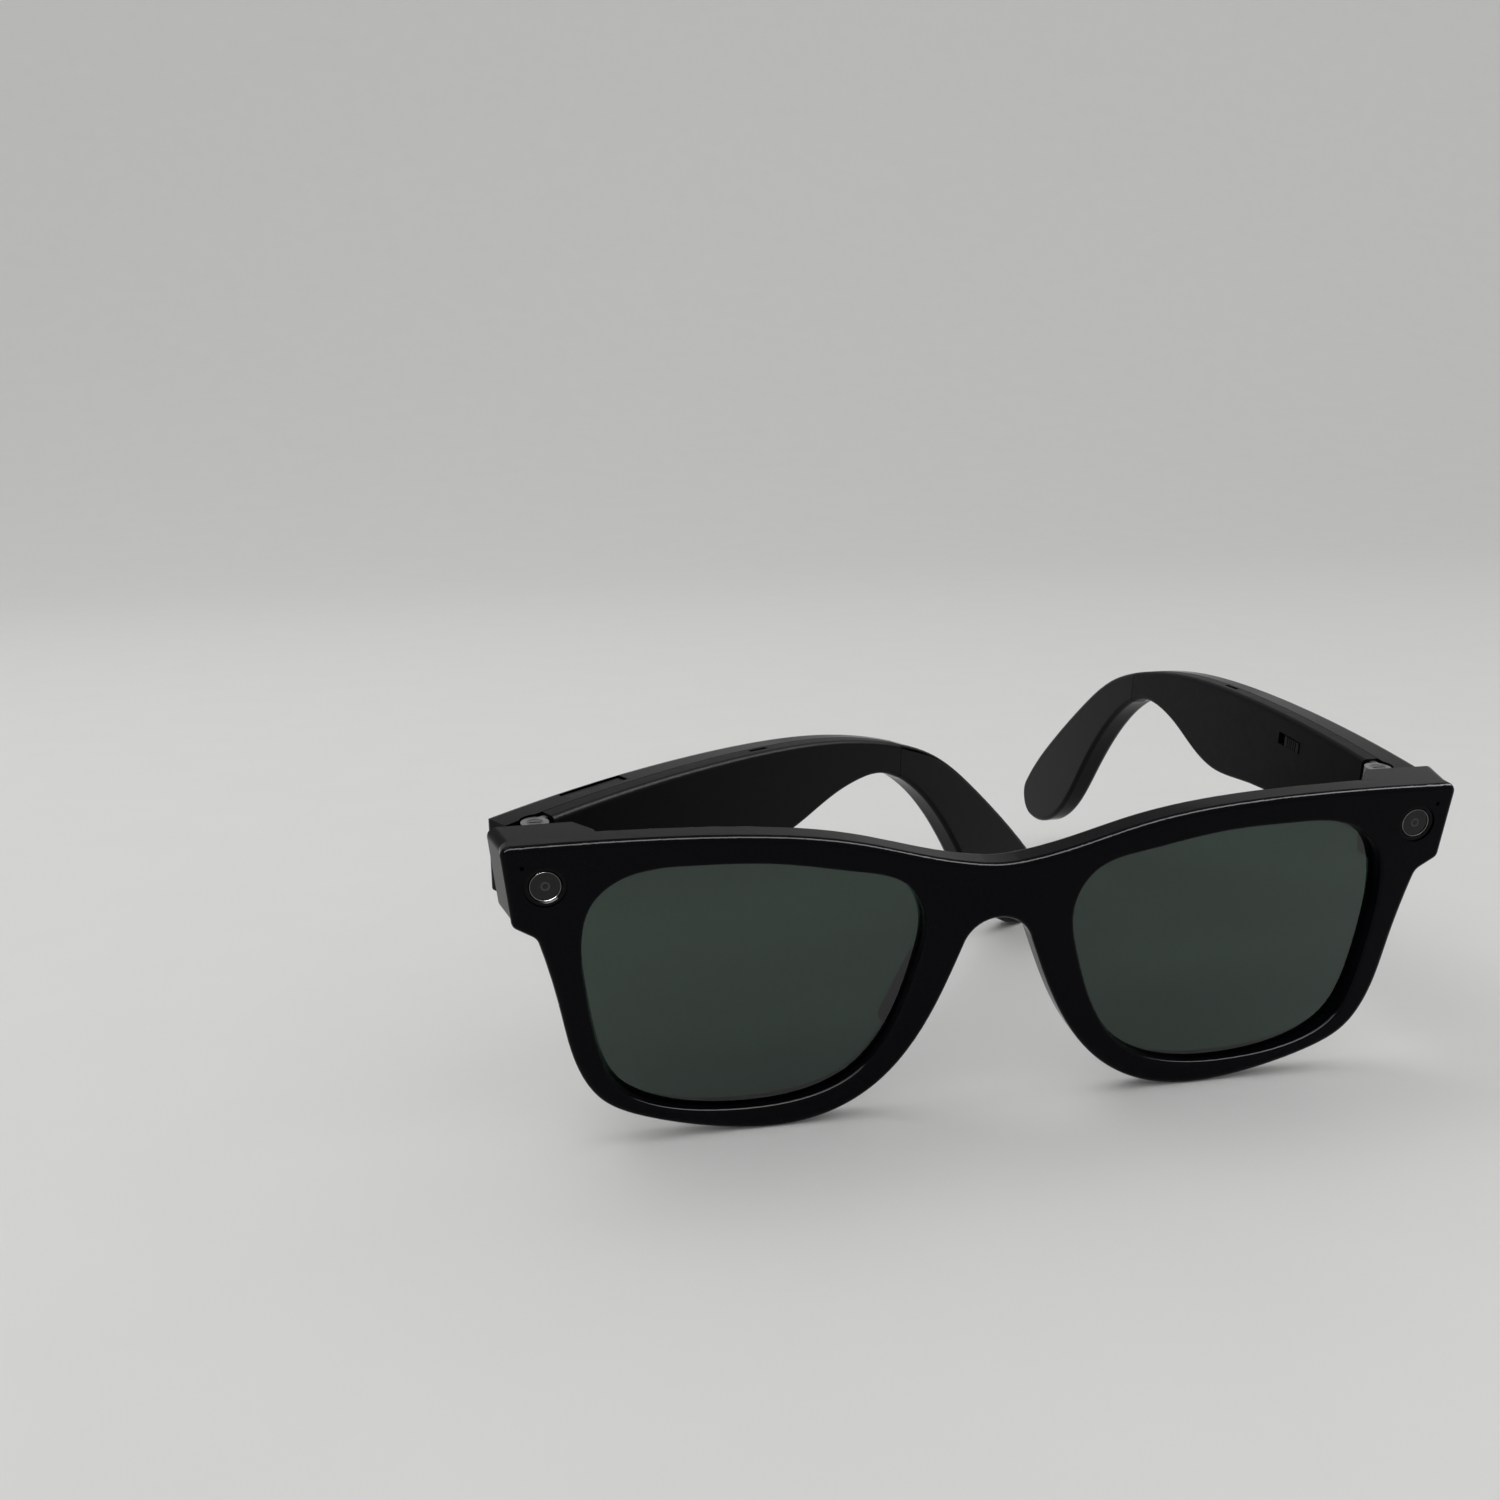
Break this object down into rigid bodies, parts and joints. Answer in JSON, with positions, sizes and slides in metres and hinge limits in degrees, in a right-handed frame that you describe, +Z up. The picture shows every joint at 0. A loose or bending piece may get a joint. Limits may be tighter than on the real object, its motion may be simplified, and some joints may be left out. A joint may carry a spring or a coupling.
{
  "type": "smart glasses",
  "caption": "Black thick-rimmed smart glasses with tinted lenses, camera and capture light in the end pieces, folding temples holding speakers, battery and board.",
  "frame": {"origin": "on the table under the middle of the whole object at rest, on the front's mirror plane", "axes": "+Z up from the table, -Y the way the wearer looks, +X to the wearer's left"},
  "size_m": [0.1444, 0.1511, 0.0532],
  "materials": {
    "frame_plastic": "polished black, rounded edges",
    "cover_plastic": "satin black",
    "lens_glass": "grey-green tint, polished",
    "window_glass": "dark polished window",
    "light_glass": "frosted white diffuser",
    "bezel": "gloss black ring",
    "steel": "brushed",
    "screw_steel": "dark plated",
    "board": "solder mask green",
    "black_part": "moulded black",
    "shield": "tinned",
    "cell": "foil pouch",
    "flex": "amber polyimide",
    "mesh": "fine woven mesh",
    "contact": "gold plated",
    "button": "gloss black"
  },
  "bodies": {
    "front": {"front_frame": "frame_plastic", "lens_left": "lens_glass", "lens_right": "lens_glass", "camera_bezel": "bezel", "camera_window": "window_glass", "camera_barrel": "black_part", "camera_board": "board", "light_bezel": "bezel", "light_window": "light_glass", "light_guide": "light_glass", "light_board": "board", "front_microphones": "black_part", "nose_microphone": "black_part", "nose_mesh": "mesh", "charging_contacts": "contact", "front_flex": "flex", "channel_strip": "cover_plastic", "front_leaf_left": "steel", "front_leaf_right": "steel", "front_leaf_screws_left": "screw_steel", "front_leaf_screws_right": "screw_steel", "hinge_screw_left": "screw_steel", "hinge_screw_right": "screw_steel"},
    "temple_left": {"temple_shell_left": "frame_plastic", "temple_cover_left": "cover_plastic", "temple_leaf_left": "steel", "temple_leaf_screws_left": "screw_steel", "speaker_left": "black_part", "speaker_mesh_left": "mesh", "microphone_mesh_left": "mesh", "battery": "cell", "power_board": "board", "switch_body": "black_part"},
    "temple_right": {"temple_shell_right": "frame_plastic", "temple_cover_right": "cover_plastic", "temple_leaf_right": "steel", "temple_leaf_screws_right": "screw_steel", "speaker_right": "black_part", "speaker_mesh_right": "mesh", "microphone_mesh_right": "mesh", "main_board": "board", "shield_can": "shield", "button_switch": "black_part", "button_bracket": "black_part", "touch_strip": "flex"},
    "capture_button": {"capture_button": "button"},
    "power_switch": {"power_switch": "button"}
  },
  "joints": [
    {"name": "temple_left_fold", "type": "hinge", "parent": "front", "child": "temple_left", "pos_m": [0.0655, -0.06322, 0.04222], "axis": [0, -0.1417, 0.9899], "range_deg": [-1.3, 38]},
    {"name": "temple_right_fold", "type": "hinge", "parent": "front", "child": "temple_right", "pos_m": [-0.0655, -0.06322, 0.04222], "axis": [0, 0.1417, -0.9899], "range_deg": [-55.5, 32.5]},
    {"name": "capture_button_press", "type": "slide", "parent": "temple_right", "child": "capture_button", "axis": [0, 0.1417, -0.9899], "range_m": [0, 0.0004], "stiffness_N_per_m": 900},
    {"name": "power_switch_slide", "type": "slide", "parent": "temple_left", "child": "power_switch", "axis": [-0.0227, 0.9897, 0.1417], "range_m": [0, 0.002]}
  ]
}
